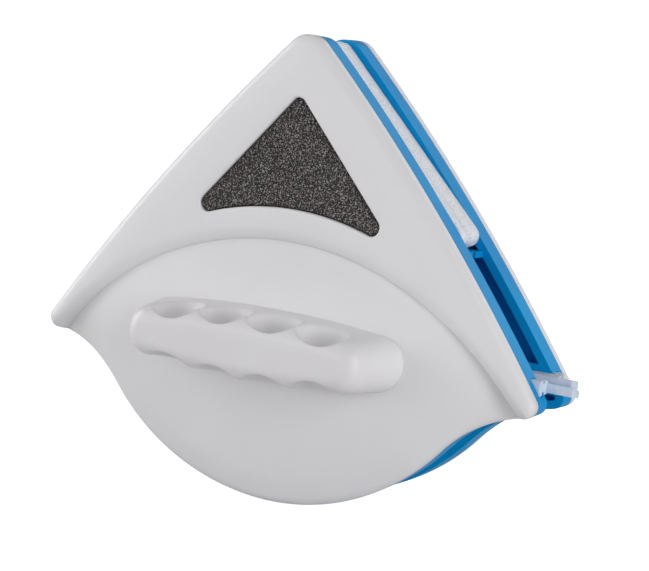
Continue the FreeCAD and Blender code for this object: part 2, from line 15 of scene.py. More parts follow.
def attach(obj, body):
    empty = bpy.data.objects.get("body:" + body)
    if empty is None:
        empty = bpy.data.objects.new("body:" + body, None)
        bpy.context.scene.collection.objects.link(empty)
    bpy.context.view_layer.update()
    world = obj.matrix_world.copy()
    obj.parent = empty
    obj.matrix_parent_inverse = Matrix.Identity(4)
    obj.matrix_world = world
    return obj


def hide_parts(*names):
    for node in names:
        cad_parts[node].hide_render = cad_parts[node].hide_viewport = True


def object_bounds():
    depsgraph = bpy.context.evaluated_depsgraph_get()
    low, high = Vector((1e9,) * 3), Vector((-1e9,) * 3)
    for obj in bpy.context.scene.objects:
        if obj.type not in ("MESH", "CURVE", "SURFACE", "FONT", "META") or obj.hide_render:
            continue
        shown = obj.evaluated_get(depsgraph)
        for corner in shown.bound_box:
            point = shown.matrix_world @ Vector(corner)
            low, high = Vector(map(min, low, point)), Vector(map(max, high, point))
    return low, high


MM = 0.001

# ---- Outline of a half, the same as the part's ----------------------------------------
HALF_WIDTH = 91.5
APEX_HEIGHT = 108.4
SIDE_BULGE = 3.45
APEX_RADIUS = 7.9
CORNER_RADIUS = 3.8
CORNER_CENTRE_Z = -0.7
BELLY_RADIUS = 79.8
BELLY_CENTRE_Z = 31.2
SHOULDER_RADIUS = 46.0

# ---- Depths from the middle plane -----------------------------------------------------
PAD_FACE = 0.15
RIM = 7.2
SPLIT = 14.7               # joint between base and cover
PANEL = 20.8
GRIP_FACE = 44.5
WALL = 2.0
BASE_EDGE = 0.3            # width of the base plate's softened edges

# ---- Angles in degrees over which an edge is drawn sharp -------------------------------
COVER_SHARP = 38.0
HANDLE_SHARP = 60.0
BLADE_SHARP = 45.0
BASE_SHARP = 35.0
BASE_BEVEL_FROM = 40.0
NO_SHARP = 180.0

# ---- Cover ----------------------------------------------------------------------------
LENS_RADIUS = 106.2
LENS_CENTRE_Z = -68.0
STEP_ROUND = 4.2           # the panel's edge rolls down to the dome over this width
DOME_SEMI_AXES = (105.0, 25.5, 62.0)
DOME_CENTRE_Z = -4.0
EDGE_DROP = 1.9            # how far the panel's rim rolls over towards the joint line
EDGE_REACH = 1.7           # width of that roll as a share of its drop
EDGE_SHARE = 0.75          # the roll takes up at most this share of the cover's side
EDGE_SPARE = 0.2           # height that it leaves above the joint line
EDGE_PROBE = 1.5           # how far in the height of the rim is read
EDGE_SMOOTHING = 6         # points on each side that its height is averaged over
LIP_SHARE = 0.8            # width of the flat at the joint line as a share of the roll
BEVEL_REACH = 9.4          # the panel starts to fall this far in from the outline
BEVEL_SLOPE = 0.13
BEVEL_ROUND = 2.4          # the flat turns into that slope over this width
EDGE_STEPS = 9
JOINT_GAP = 0.12           # open line between cover and base
JOINT_ROUND = ((0.3, 0.0), (0.08, 0.08), (0.0, 0.25))    # inset and rise of a small round there
UNDERSIDE = 0.4            # least height of the cover's inner skin above the joint line
SURFACE_PITCH = 1.7
SURFACE_GAP = 0.9          # least room between the even grid and the edges of the skin
STEP_OFFSETS = (-2.6, -1.3, -0.5, -0.12, 0.0, 0.08, 0.25, 0.55, 1.0, 1.6, 2.3, 3.1, 3.9, 4.7, 5.8)
STEP_TURNS = (20.0, 160.0, 0.55)                         # first and last degree of its rows, and pitch
STEP_GAP = 0.35
STEP_CLEAR = (-3.5, 6.8)   # the even grid stays outside this band along the step

# ---- Window and sponge ----------------------------------------------------------------
WINDOW_TOP_Z = 86.4
WINDOW_HALF_WIDTH = 40.9
WINDOW_FOOT_Z = 39.5
WINDOW_ARCH_Z = 48.9
WINDOW_CORNER = 3.0
WINDOW_EDGE = 0.8          # rounding of the window's edge
WINDOW_STEPS = 4
SPONGE_FACE = 20.1
SPONGE_BACK = 16.5
SPONGE_PITCH = 0.55
SPONGE_PLAY = 0.25         # open line round the sponge
SPONGE_ROUND = ((0.0, 1.3), (0.15, 0.7), (0.55, 0.25))   # inset and fall of its soft edge
SPONGE_GAP = 0.4           # least room between the even grid and the edge
# relief, fineness and seed of the pits, the grain and the single cells
SPONGE_PITS = (0.35, 1.1, 7.0)
SPONGE_GRAIN = (0.16, 2.6, 2.0)
SPONGE_CELLS = (0.12, 0.9, 3.0)

# ---- Handle ---------------------------------------------------------------------------
GRIP_Z = 5.0
GRIP_ROOT = 20.0
GRIP_ROOT_HALF_LENGTH = 49.0
GRIP_ROOT_HALF_HEIGHT = 12.0
GRIP_ROOT_CORNER = 9.0
GRIP_FACE_HALF_LENGTH = 41.5
GRIP_FACE_HALF_HEIGHT = 10.2
GRIP_FACE_CORNER = 7.6
GRIP_FILLET = 6.0
GRIP_BULGE_RADIUS = 300.0
GROOVE_PITCH = 18.0
GROOVE_COUNT = 4
GROOVE_DEPTH = 5.0
GROOVE_RADIUS = 10.0
GROOVE_LEVEL = 39.0
GROOVE_EDGE = 0.5          # softness of a groove's edge
GRIP_MEETING = 24.5        # about where the handle's side reaches the dome
GRIP_SEAM = ((0.55, 0.0, 0.35), (0.45, 0.0, 0.0), (0.1, 0.25, 0.0))    # inset, rise and sink at the seam
GRIP_START = 0.5           # the plain sides start this far above the dome
GRIP_ROWS = np.linspace(0.03, 1.0, 26)                   # shares of the height where the sides have rings
GRIP_EDGE_ROWS = np.linspace(0, 1, 15)[1:]               # shares of the turn on the rounded edge
GRIP_SHARES = (0.8, 0.55, 0.3, 0.0)                      # rings that close the flat face
GRIP_PULL_FROM = 30.0      # past here those rings are drawn in along the handle as well
GRIP_PULL = 0.3

# ---- Squeegee -------------------------------------------------------------------------
BLADE_Z = 4.6
BLADE_LEFT_X = -86.5
BLADE_ROOT_RIGHT_X = 89.5
BLADE_PITCH = 2.5
FOOT_FACE = 11.5           # depths down the strip: foot, neck in the slot, root outside it, lip
NECK_TOP = 8.8
NECK_END = 7.0
ROOT_END = 6.0
LIP_ROOT = 5.2
LIP_TIP = -1.2             # each lip reaches over the middle plane
FOOT_HALF = 2.5
NECK_HALF = 1.3
ROOT_HALF = 2.4
ROOT_TAPER = ((4.8, 1.8, 0.3), (4.2, 1.5, 0.45))         # depth, half thickness and lean
LIP_ROOT_HALF = 1.5
LIP_TIP_HALF = 1.2
LIP_ROOT_LEAN = 0.3
LIP_TIP_LEAN = 1.6
LIP_CURL = 1.1             # the lean grows a little faster than the length
WAVE_START = 6.6           # the lip is a little wavy from this depth to its tip
WAVE_HEIGHT = 0.08
WAVES = ((1.0, 9.0, 0.0), (0.6, 4.1, 1.0))               # weight, length over two pi, and phase
RUBBER_CUT = 0.2           # share of each edge that corner-cutting takes off

# ---- Pads -----------------------------------------------------------------------------
PAD_TOP_Z = 106.0
PAD_FOOT_Z = 42.6
PAD_HALF_WIDTH = 62.0
PAD_CORNER = 4.0
LOWER_PAD_TOP_Z = -4.0
LOWER_PAD_INSET = 7.0
PAD_PITCH = 0.9            # spacing of points round the corners
PAD_GRID = 1.0             # spacing of points on the face
PAD_GAP = 0.6
PAD_SINK = 0.35            # room between the pad's back and the base's rim plane
PAD_WAIST = 0.25           # how much the sides bulge out half way
PAD_BACK_ROUND = ((0.9, 0.0), (0.35, 0.2))               # inset and fall at the back edge
PAD_ROLL = 2.2             # round between the side and the face
PAD_ROLL_DEPTH = 1.7
PAD_SIDE_START = 0.4       # limits of the bulging side, from the back and from the middle plane
PAD_SIDE_END = 2.6
PAD_NAP = 0.45             # height of the pile at the sides and on the face
FACE_NAP = 0.4
FACE_LEVEL = 0.42
# fineness, fineness in depth and weight of each layer of noise in the nap
NAP_LAYERS = ((0.35, 0.5, 0.45), (0.9, 1.2, 0.35), (2.1, 2.3, 0.25))

# ---- Stage ----------------------------------------------------------------------------
CAMERA_AZIMUTH = 27.38     # degrees round from the front to the right
CAMERA_ELEVATION = 7.13
CAMERA_ROLL = 6.11
CAMERA_TARGET = (5.71, 0.0, 23.40)
CAMERA_DISTANCE = 592.7
CAMERA_LENS = 98.63
CAMERA_SENSOR = 36.0
FLOOR_GAP = 0.004          # metres under the part
FLOOR_SIZE = 40.0
FLOOR_GREY = 0.75
FLOOR_GLOW = 0.9           # extra brightness that only the camera sees
SKY_LOW = 0.50             # light from below and from above
SKY_HIGH = 0.14
SKY_SEEN = 1.05
LIGHT_TARGET = (0.0, 0.0, 25.0)
# name, azimuth and elevation in degrees, distance, size, power: metres and watts
LIGHTS = (("front", -25, 4, 1.3, (1.1, 0.6), 2.9),
          ("right", 66, 5, 1.1, (0.4, 1.2), 9.0),
          ("left", -75, 5, 1.1, (0.5, 1.2), 9.0),
          ("back", 165, 25, 1.3, (1.1, 0.9), 2.4))

HALVES = (("inner", -1.0, 98.0), ("outer", 1.0, 96.0))   # name, Y side, right end of the lip


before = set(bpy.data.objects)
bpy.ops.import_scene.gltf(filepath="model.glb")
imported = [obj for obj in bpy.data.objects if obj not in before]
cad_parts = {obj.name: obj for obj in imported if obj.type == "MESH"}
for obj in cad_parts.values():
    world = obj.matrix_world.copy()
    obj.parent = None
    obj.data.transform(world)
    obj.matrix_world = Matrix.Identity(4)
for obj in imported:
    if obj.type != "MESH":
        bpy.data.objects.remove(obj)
CAD_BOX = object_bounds()


# ---- Plane geometry -------------------------------------------------------------------

def unit(vector):
    """Unit vector of a 2-D vector."""
    return vector / np.linalg.norm(vector)


def arc_points(centre, radius, start, end, count, hollow=False):
    """Points and outward normals along an arc from one direction to another."""
    a0 = math.atan2(start[1], start[0])
    a1 = math.atan2(end[1], end[0])
    turn = (a1 - a0 + math.pi) % (2 * math.pi) - math.pi
    angles = a0 + turn * np.arange(count) / count
    direction = np.column_stack([np.cos(angles), np.sin(angles)])
    return centre + radius * direction, -direction if hollow else direction


def line_points(start, end, normal, count):
    """Points and outward normals along a straight run."""
    share = (np.arange(count) / count)[:, None]
    return start + (end - start) * share, np.repeat(normal[None, :], count, axis=0)


def mirror_loop(points, normals):
    """Closes a loop from its right half, which runs from the top to the bottom on x = 0."""
    flip = np.array([-1.0, 1.0])
    inner = slice(len(points) - 2, 0, -1)
    return (np.vstack([points, points[inner] * flip]),
            np.vstack([normals, normals[inner] * flip]))


def outline_loop():
    """Points and outward normals round a half's outline."""
    middle = np.array([HALF_WIDTH / 2, APEX_HEIGHT / 2])
    chord = math.hypot(HALF_WIDTH, APEX_HEIGHT)
    radius = (chord ** 2 / 4 + SIDE_BULGE ** 2) / (2 * SIDE_BULGE)
    side = middle - unit(np.array([APEX_HEIGHT, HALF_WIDTH])) * (radius - SIDE_BULGE)
    apex = np.array([0.0, side[1] + math.sqrt((radius - APEX_RADIUS) ** 2 - side[0] ** 2)])
    reach = radius - CORNER_RADIUS
    corner_x = side[0] + math.sqrt(reach ** 2 - (CORNER_CENTRE_Z - side[1]) ** 2)
    corner = np.array([corner_x, CORNER_CENTRE_Z])
    belly = np.array([0.0, BELLY_CENTRE_Z])
    far = BELLY_RADIUS + SHOULDER_RADIUS
    near = CORNER_RADIUS + SHOULDER_RADIUS
    between = np.linalg.norm(corner - belly)
    along = (far ** 2 - near ** 2 + between ** 2) / (2 * between)
    away = math.sqrt(far ** 2 - along ** 2)
    ux, uz = unit(corner - belly)
    shoulder = belly + np.array([along * ux + away * uz, along * uz - away * ux])
    runs = [arc_points(apex, APEX_RADIUS, (0, 1), apex - side, 12),
            arc_points(side, radius, apex - side, corner - side, 96),
            arc_points(corner, CORNER_RADIUS, corner - side, shoulder - corner, 30),
            arc_points(shoulder, SHOULDER_RADIUS, corner - shoulder, belly - shoulder, 60, True),
            arc_points(belly, BELLY_RADIUS, shoulder - belly, (0, -1), 70)]
    runs.append((np.array([[0.0, BELLY_CENTRE_Z - BELLY_RADIUS]]), np.array([[0.0, -1.0]])))
    return mirror_loop(np.vstack([p for p, n in runs]), np.vstack([n for p, n in runs]))


def window_loop():
    """Points round the window, with normals that point out of it into the panel."""
    top = np.array([0.0, WINDOW_TOP_Z])
    foot = np.array([WINDOW_HALF_WIDTH, WINDOW_FOOT_Z])
    sag = WINDOW_ARCH_Z - WINDOW_FOOT_Z
    arch_radius = (WINDOW_HALF_WIDTH ** 2 + sag ** 2) / (2 * sag)
    arch = np.array([0.0, WINDOW_ARCH_Z - arch_radius])
    run = unit(foot - top)
    out = np.array([-run[1], run[0]])
    top_centre = top - np.array([0.0, WINDOW_CORNER / out[1]])
    # the foot corner's centre: on the side moved in, and a corner radius above the arch
    offset = top_centre - arch
    b = offset @ run
    c = offset @ offset - (arch_radius + WINDOW_CORNER) ** 2
    foot_centre = top_centre + run * (-b - math.sqrt(b * b - c))
    touch = arch - foot_centre
    runs = [arc_points(top_centre, WINDOW_CORNER, (0, 1), out, 6),
            line_points(top_centre + out * WINDOW_CORNER, foot_centre + out * WINDOW_CORNER, out, 46),
            arc_points(foot_centre, WINDOW_CORNER, out, touch, 12),
            arc_points(arch, arch_radius, -touch, (0, 1), 36, True)]
    runs.append((np.array([[0.0, WINDOW_ARCH_Z]]), np.array([[0.0, -1.0]])))
    return mirror_loop(np.vstack([p for p, n in runs]), np.vstack([n for p, n in runs]))


def inside(points, loop):
    """Which points lie inside a closed loop."""
    x, z = points[:, 0:1], points[:, 1:2]
    ax, az = loop[:, 0][None, :], loop[:, 1][None, :]
    bx, bz = np.roll(loop[:, 0], -1)[None, :], np.roll(loop[:, 1], -1)[None, :]
    crosses = (az > z) != (bz > z)
    slope = np.where(crosses, (bx - ax) / np.where(bz == az, 1.0, bz - az), 0.0)
    return (crosses & (x < ax + (z - az) * slope)).sum(axis=1) % 2 == 1


def clear_of(points, loop, gap):
    """Which points are further than the gap from every point of a loop."""
    away = np.linalg.norm(points[:, None, :] - loop[None, :, :], axis=2)
    return away.min(axis=1) > gap


def smoothed(values, reach):
    """Running average of values round a closed loop."""
    total = sum(np.roll(values, shift) for shift in range(-reach, reach + 1))
    return total / (2 * reach + 1)


def hex_grid(low, high, pitch):
    """Staggered grid of points over a box."""
    rows = np.arange(low[1], high[1], pitch * math.sqrt(0.75))
    found = []
    for number, z in enumerate(rows):
        xs = np.arange(low[0] + (number % 2) * pitch / 2, high[0], pitch)
        found.append(np.column_stack([xs, np.full(len(xs), z)]))
    return np.vstack(found)


def triangulate(loops, free_points, holes=()):
    """Triangles over the area between loops. Returns the points and the triangles."""
    points = np.vstack(list(loops) + [free_points])
    edges = []
    start = 0
    for loop in loops:
        count = len(loop)
        edges += [(start + i, start + (i + 1) % count) for i in range(count)]
        start += count
    coords = [Vector((float(x), float(z))) for x, z in points]
    _, _, faces, origin, _, _ = delaunay_2d_cdt(coords, edges, [], 0, 1e-7, True)
    triangles = np.array([[origin[i][0] for i in face] for face in faces])
    centres = points[triangles].mean(axis=1)
    keep = inside(centres, loops[0])
    for hole in holes:
        keep &= ~inside(centres, hole)
    return points, triangles[keep]


# ---- Mesh building --------------------------------------------------------------------

class Shell:
    """Collects rings of (x, depth, z) points and the faces between them."""

    def __init__(self):
        self.points = []
        self.faces = []

    def add(self, points):
        """Adds points and returns their numbers."""
        first = len(self.points)
        self.points += [tuple(float(v) for v in p) for p in points]
        return list(range(first, len(self.points)))

    def bridge(self, a, b, closed=True):
        """Quads between two rows of the same length."""
        count = len(a)
        for i in range(count if closed else count - 1):
            j = (i + 1) % count
            self.faces.append((a[i], a[j], b[j], b[i]))

    def strip(self, rows, closed=True):
        """Quads between each row and the next."""
        for a, b in zip(rows, rows[1:]):
            self.bridge(a, b, closed)

    def cap(self, row):
        """One flat face over a closed row."""
        self.faces.append(tuple(row))

    def object(self, name, side, sharp_deg):
        """The finished mesh object on one side of the middle plane, in metres."""
        bm = bmesh.new()
        verts = [bm.verts.new((x * MM, side * d * MM, z * MM)) for x, d, z in self.points]
        for face in self.faces:
            corners = list(dict.fromkeys(face))
            if len(corners) > 2:
                bm.faces.new([verts[i] for i in corners])
        bmesh.ops.remove_doubles(bm, verts=bm.verts[:], dist=2e-6)
        bmesh.ops.recalc_face_normals(bm, faces=bm.faces[:])
        mesh = bpy.data.meshes.new(name)
        bm.to_mesh(mesh)
        bm.free()
        mesh.shade_smooth()
        mesh.set_sharp_from_angle(angle=math.radians(sharp_deg))
        made = bpy.data.objects.new(name, mesh)
        bpy.context.scene.collection.objects.link(made)
        return made


def with_depth(points, depth):
    """(x, depth, z) rows from (x, z) points."""
    depth = np.broadcast_to(depth, len(points))
    return np.column_stack([points[:, 0], depth, points[:, 1]])


# ---- Cover shell ----------------------------------------------------------------------

def dome_depth(points):
    """Depth of the dome's surface."""
    across, out, up = DOME_SEMI_AXES
    left = 1 - (points[:, 0] / across) ** 2 - ((points[:, 1] - DOME_CENTRE_Z) / up) ** 2
    return out * np.sqrt(np.maximum(left, 0.0))


def past_lens(points):
    """Distance outside the arc that bounds the raised panel."""
    return np.hypot(points[:, 0], points[:, 1] - LENS_CENTRE_Z) - LENS_RADIUS


def cover_depth(points):
    """Depth of the cover's surface: dome below the arc, raised panel above it."""
    dome = dome_depth(points)
    share = np.clip(past_lens(points) / STEP_ROUND, 0, 1)
    return dome + (PANEL - dome) * np.sqrt(1 - (1 - share) ** 2)


def bevel_fall(inset):
    """How far the panel has fallen at a distance in from the outline."""
    run = np.maximum(BEVEL_REACH - inset, 0.0)
    return BEVEL_SLOPE * np.where(run < BEVEL_ROUND, run ** 2 / (2 * BEVEL_ROUND), run - BEVEL_ROUND / 2)


def rim_distance(points, base, out):
    """Distance of points in from the outline."""
    nearest = np.linalg.norm(points[:, None, :] - base[None, :, :], axis=2).argmin(axis=1)
    return ((base[nearest] - points) * out[nearest]).sum(axis=1)


def skin_depth(points, base, out):
    """Depth of the cover's surface with its bevelled rim."""
    depth = cover_depth(points)
    fall = bevel_fall(rim_distance(points, base, out))
    return depth - fall * np.clip((depth - SPLIT) / (PANEL - SPLIT), 0, 1)


def lens_rows(loop):
    """Rows of points along the step, closer together where it is steep."""
    angles = np.radians(np.arange(*STEP_TURNS))
    rows = []
    for offset in STEP_OFFSETS:
        radius = LENS_RADIUS + offset
        rows.append(np.column_stack([radius * np.cos(angles), LENS_CENTRE_Z + radius * np.sin(angles)]))
    points = np.vstack(rows)
    points = points[inside(points, loop)]
    return points[clear_of(points, loop, STEP_GAP)]


def rim_rows(shell, base, out):
    """Rings from the joint line up over the rolled rim. Also returns the inner edge of the roll."""
    height = skin_depth(base - EDGE_PROBE * out, base, out)
    drop = smoothed(np.minimum(EDGE_DROP, EDGE_SHARE * (height - SPLIT - EDGE_SPARE)), EDGE_SMOOTHING)
    reach = EDGE_REACH * drop
    lip = np.minimum(WALL, LIP_SHARE * reach)
    rows = [shell.add(with_depth(base - lip[:, None] * out, SPLIT + JOINT_GAP))]
    for inset, rise in JOINT_ROUND:
        rows.append(shell.add(with_depth(base - inset * out, SPLIT + JOINT_GAP + rise)))
    for step in range(EDGE_STEPS + 1):
        turn = math.pi / 2 * step / EDGE_STEPS
        points = base - (reach * (1 - math.cos(turn)))[:, None] * out
        depth = skin_depth(points, base, out) - drop * (1 - math.sin(turn))
        rows.append(shell.add(with_depth(points, depth)))
    shell.strip(rows)
    return rows, base - reach[:, None] * out


def mouth_rows(shell, window, away):
    """Rings round the window, from its rounded edge down to the cover's inner face."""
    rows = []
    for step in range(WINDOW_STEPS + 1):
        turn = math.pi / 2 * step / WINDOW_STEPS
        points = window + WINDOW_EDGE * (1 - math.sin(turn)) * away
        depth = PANEL - WINDOW_EDGE * (1 - math.cos(turn))
        rows.append(shell.add(with_depth(points, depth)))
    rows.append(shell.add(with_depth(window, PANEL - WALL)))
    shell.strip(rows)
    return rows


def cover_shell(half, side):
    """White cover: one closed skin with a rolled rim, the step, and the window's opening."""
    shell = Shell()
    base, out = outline_loop()
    rows, rim = rim_rows(shell, base, out)
    window, away = window_loop()
    mouth = window + WINDOW_EDGE * away
    opening = mouth_rows(shell, window, away)

    grid = hex_grid((-HALF_WIDTH, BELLY_CENTRE_Z - BELLY_RADIUS), (HALF_WIDTH, APEX_HEIGHT), SURFACE_PITCH)
    step = past_lens(grid)
    off_step = (step < STEP_CLEAR[0]) | (step > STEP_CLEAR[1])
    grid = grid[inside(grid, rim) & ~inside(grid, mouth) & off_step]
    grid = grid[clear_of(grid, np.vstack([rim, mouth]), SURFACE_GAP)]
    free = np.vstack([grid, lens_rows(rim)])
    points, triangles = triangulate([rim, mouth], free, holes=[mouth])
    inner = points[len(rim) + len(mouth):]
    outside = rows[-1] + opening[0] + shell.add(with_depth(inner, skin_depth(inner, base, out)))
    shell.faces += [tuple(outside[i] for i in triangle) for triangle in triangles]

    under = np.maximum(skin_depth(points, base, out) - WALL, SPLIT + UNDERSIDE)
    under_ids = shell.add(with_depth(points, under))
    under_ids[len(rim):len(rim) + len(mouth)] = opening[-1]
    shell.faces += [tuple(under_ids[i] for i in triangle) for triangle in triangles]
    shell.bridge(rows[0], under_ids[:len(rim)])
    return shell.object(half + "_cover", side, COVER_SHARP)


# ---- Window sponge --------------------------------------------------------------------

def sponge_relief(x, z):
    """Height of the sponge's face at a point: fine grain, less pits and cells."""
    pits, pit_fine, pit_seed = SPONGE_PITS
    grain, grain_fine, grain_seed = SPONGE_GRAIN
    cells, cell_fine, cell_seed = SPONGE_CELLS
    pit = noise.noise(Vector((x * pit_fine, z * pit_fine, pit_seed)))
    fine = noise.noise(Vector((x * grain_fine, z * grain_fine, grain_seed)))
    cell = noise.cell_vector(Vector((x * cell_fine, z * cell_fine, cell_seed)))[0]
    return grain * fine - pits * max(0.0, pit) - cells * cell


def sponge(half, side):
    """Coarse open-cell sponge, pitted all over, sunk a little in its window."""
    shell = Shell()
    window, away = window_loop()
    edge = window - SPONGE_PLAY * away
    rows = [shell.add(with_depth(edge, SPONGE_BACK))]
    for inset, fall in SPONGE_ROUND:
        rim = edge - inset * away
        rows.append(shell.add(with_depth(rim, SPONGE_FACE - fall)))
    shell.strip(rows)
    shell.cap(rows[0])
    grid = hex_grid((-WINDOW_HALF_WIDTH, WINDOW_FOOT_Z), (WINDOW_HALF_WIDTH, WINDOW_TOP_Z), SPONGE_PITCH)
    grid = grid[inside(grid, rim)]
    grid = grid[clear_of(grid, rim, SPONGE_GAP)]
    points, triangles = triangulate([rim], grid)
    free = points[len(rim):]
    relief = np.array([sponge_relief(x, z) for x, z in free])
    depth = SPONGE_FACE - SPONGE_ROUND[-1][1] + relief
    ids = rows[-1] + shell.add(with_depth(free, depth))
    shell.faces += [tuple(ids[i] for i in triangle) for triangle in triangles]
    return shell.object(half + "_sponge", side, NO_SHARP)


# ---- Handle ---------------------------------------------------------------------------

def bar_outline(half_x, half_z, radius):
    """Loop with slightly arched long sides and round ends, about the handle's middle."""
    crown = half_z - GRIP_BULGE_RADIUS
    reach = GRIP_BULGE_RADIUS - radius
    corner_x = half_x - radius
    corner_z = crown + math.sqrt(reach ** 2 - corner_x ** 2)
    meet = math.asin(corner_x / reach)
    quarter = []
    for centre, size, turns in (((0.0, crown), GRIP_BULGE_RADIUS, np.linspace(0, meet, 73)[:-1]),
                                ((corner_x, corner_z), radius, np.linspace(meet, math.pi / 2, 19))):
        normal = np.column_stack([np.sin(turns), np.cos(turns)])
        quarter.append((np.array(centre) + size * normal, normal))
    loops = []
    for right in (np.vstack([p for p, n in quarter]), np.vstack([n for p, n in quarter])):
        right = np.vstack([right, (right * np.array([1.0, -1.0]))[::-1]])
        loops.append(np.vstack([right, (right * np.array([-1.0, 1.0]))[::-1][1:-1]]))
    return loops


def grip_loop(level):
    """Loop round the handle at a depth, or at an array of depths, about its middle."""
    root, root_normals = bar_outline(GRIP_ROOT_HALF_LENGTH, GRIP_ROOT_HALF_HEIGHT, GRIP_ROOT_CORNER)
    face, face_normals = bar_outline(GRIP_FACE_HALF_LENGTH, GRIP_FACE_HALF_HEIGHT, GRIP_FACE_CORNER)
    share = (np.broadcast_to(level, len(root)) - GRIP_ROOT) / (GRIP_FACE - GRIP_ROOT)
    normals = root_normals + share[:, None] * (face_normals - root_normals)
    normals = normals / np.linalg.norm(normals, axis=1)[:, None]
    return root + share[:, None] * (face - root), normals


def grip_draft():
    """How fast each place of the handle's side leans inwards with depth."""
    root, normals = grip_loop(GRIP_ROOT)
    return ((root - grip_loop(GRIP_FACE)[0]) * normals).sum(axis=1) / (GRIP_FACE - GRIP_ROOT)


def scooped(points, level):
    """The points moved inwards where a round finger groove cuts into the sides."""
    height = np.abs(points[:, 1])
    share = (GROOVE_LEVEL - GRIP_ROOT) / (GRIP_FACE - GRIP_ROOT)
    middle = GRIP_ROOT_HALF_HEIGHT + share * (GRIP_FACE_HALF_HEIGHT - GRIP_ROOT_HALF_HEIGHT)
    for number in range(GROOVE_COUNT):
        x = (number - (GROOVE_COUNT - 1) / 2) * GROOVE_PITCH
        side = middle - GRIP_BULGE_RADIUS + math.sqrt(GRIP_BULGE_RADIUS ** 2 - x ** 2)
        away = (points[:, 0] - x) ** 2 + (level - GROOVE_LEVEL) ** 2
        room = np.sqrt(np.clip(GROOVE_RADIUS ** 2 - away, 0, None))
        excess = height - (side + GROOVE_RADIUS - GROOVE_DEPTH - room)
        cut = (excess + np.sqrt(excess ** 2 + GROOVE_EDGE ** 2)) / 2
        height = height - np.where(away < GROOVE_RADIUS ** 2, cut, 0.0)
    return np.column_stack([points[:, 0], np.sign(points[:, 1]) * height])


def grip_row(shell, level, inset, sink=0.0):
    """One ring of the handle. Level and inset are numbers, or arrays round the loop."""
    points, normals = grip_loop(level)
    inset = np.broadcast_to(inset, len(points))
    points = scooped(points - inset[:, None] * normals, level) + np.array([0.0, GRIP_Z])
    return shell.add(with_depth(points, level - sink)), points


def handle(half, side):
    """Bar handle with scooped finger grooves in both long sides and a rounded front edge."""
    shell = Shell()
    draft = grip_draft()
    lean = np.arctan(draft)
    root = dome_depth(grip_loop(GRIP_MEETING)[0] + np.array([0.0, GRIP_Z]))
    start = root + GRIP_START
    end = GRIP_FACE - GRIP_FILLET * (1 - np.sin(lean))
    rows = [grip_row(shell, root + rise, inset, sink)[0] for inset, rise, sink in GRIP_SEAM]
    for share in GRIP_ROWS:
        rows.append(grip_row(shell, start + (end - start) * share, 0.0)[0])
    centre = GRIP_FILLET * np.sqrt(1 + draft ** 2) - GRIP_FILLET * draft
    for share in GRIP_EDGE_ROWS:
        turn = lean + (math.pi / 2 - lean) * share
        level = GRIP_FACE - GRIP_FILLET * (1 - np.sin(turn))
        wall = (GRIP_FACE - level) * draft
        row, flat = grip_row(shell, level, centre - GRIP_FILLET * np.cos(turn) + wall)
        rows.append(row)
    past = np.sign(flat[:, 0]) * np.clip(np.abs(flat[:, 0]) - GRIP_PULL_FROM, 0, None)
    for share in GRIP_SHARES:
        inner = flat.copy()
        inner[:, 0] -= (1 - share) * GRIP_PULL * past
        inner[:, 1] = GRIP_Z + (flat[:, 1] - GRIP_Z) * share
        rows.append(shell.add(with_depth(inner, GRIP_FACE)))
    shell.strip(rows)
    shell.cap(rows[0])
    return shell.object(half + "_handle", side, HANDLE_SHARP)


# ---- Squeegee -------------------------------------------------------------------------

def smooth_profile(points, rounds=2):
    """Corner-cutting of a closed profile, so that rubber edges are soft."""
    points = np.array(points)
    for _ in range(rounds):
        following = np.roll(points, -1, axis=0)
        near = (1 - RUBBER_CUT) * points + RUBBER_CUT * following
        far = RUBBER_CUT * points + (1 - RUBBER_CUT) * following
        points = np.stack([near, far], axis=1).reshape(-1, 2)
    return points


def profile_bar(shell, profile, x0, x1, wave):
    """Closed bar along X from (depth, z) points, a little wavy along its length."""
    count = max(2, int((x1 - x0) / BLADE_PITCH))
    rows = []
    for x in np.linspace(x0, x1, count):
        sway = wave * sum(weight * math.sin(x / length + phase) for weight, length, phase in WAVES)
        share = np.clip((WAVE_START - profile[:, 0]) / (WAVE_START - LIP_TIP), 0, 1) ** 2
        rows.append(shell.add(np.column_stack([np.full(len(profile), x), profile[:, 0],
                                               profile[:, 1] + sway * share])))
    shell.strip(rows)
    shell.cap(rows[0])
    shell.cap(rows[-1])


def squeegee(half, side, right_end):
    """Rubber strip: foot in the rail, root outside it and a thin leaning lip."""
    shell = Shell()
    foot = [(FOOT_FACE, FOOT_HALF, 0.0), (NECK_TOP, FOOT_HALF, 0.0), (NECK_TOP, NECK_HALF, 0.0),
            (NECK_END, NECK_HALF, 0.0), (NECK_END, ROOT_HALF, 0.0), (ROOT_END, ROOT_HALF, 0.0), *ROOT_TAPER]
    foot = [(depth, half_thick + side * lean) for depth, half_thick, lean in foot] + \
           [(depth, side * lean - half_thick) for depth, half_thick, lean in reversed(foot)]
    stations = np.linspace(LIP_ROOT, LIP_TIP, 9)
    share = (LIP_ROOT - stations) / (LIP_ROOT - LIP_TIP)
    middle = side * (LIP_ROOT_LEAN + (LIP_TIP_LEAN - LIP_ROOT_LEAN) * share ** LIP_CURL)
    half_thick = LIP_ROOT_HALF + (LIP_TIP_HALF - LIP_ROOT_HALF) * share
    upper = np.column_stack([stations, middle + half_thick])
    lower = np.column_stack([stations, middle - half_thick])[::-1]
    base = np.array([0.0, BLADE_Z])
    lip = smooth_profile(np.vstack([upper, lower]), 1)
    profile_bar(shell, smooth_profile(foot) + base, BLADE_LEFT_X, BLADE_ROOT_RIGHT_X, 0.0)
    profile_bar(shell, lip + base, BLADE_LEFT_X, right_end, WAVE_HEIGHT)
    return shell.object(half + "_blade", side, BLADE_SHARP)


# ---- Pads -----------------------------------------------------------------------------

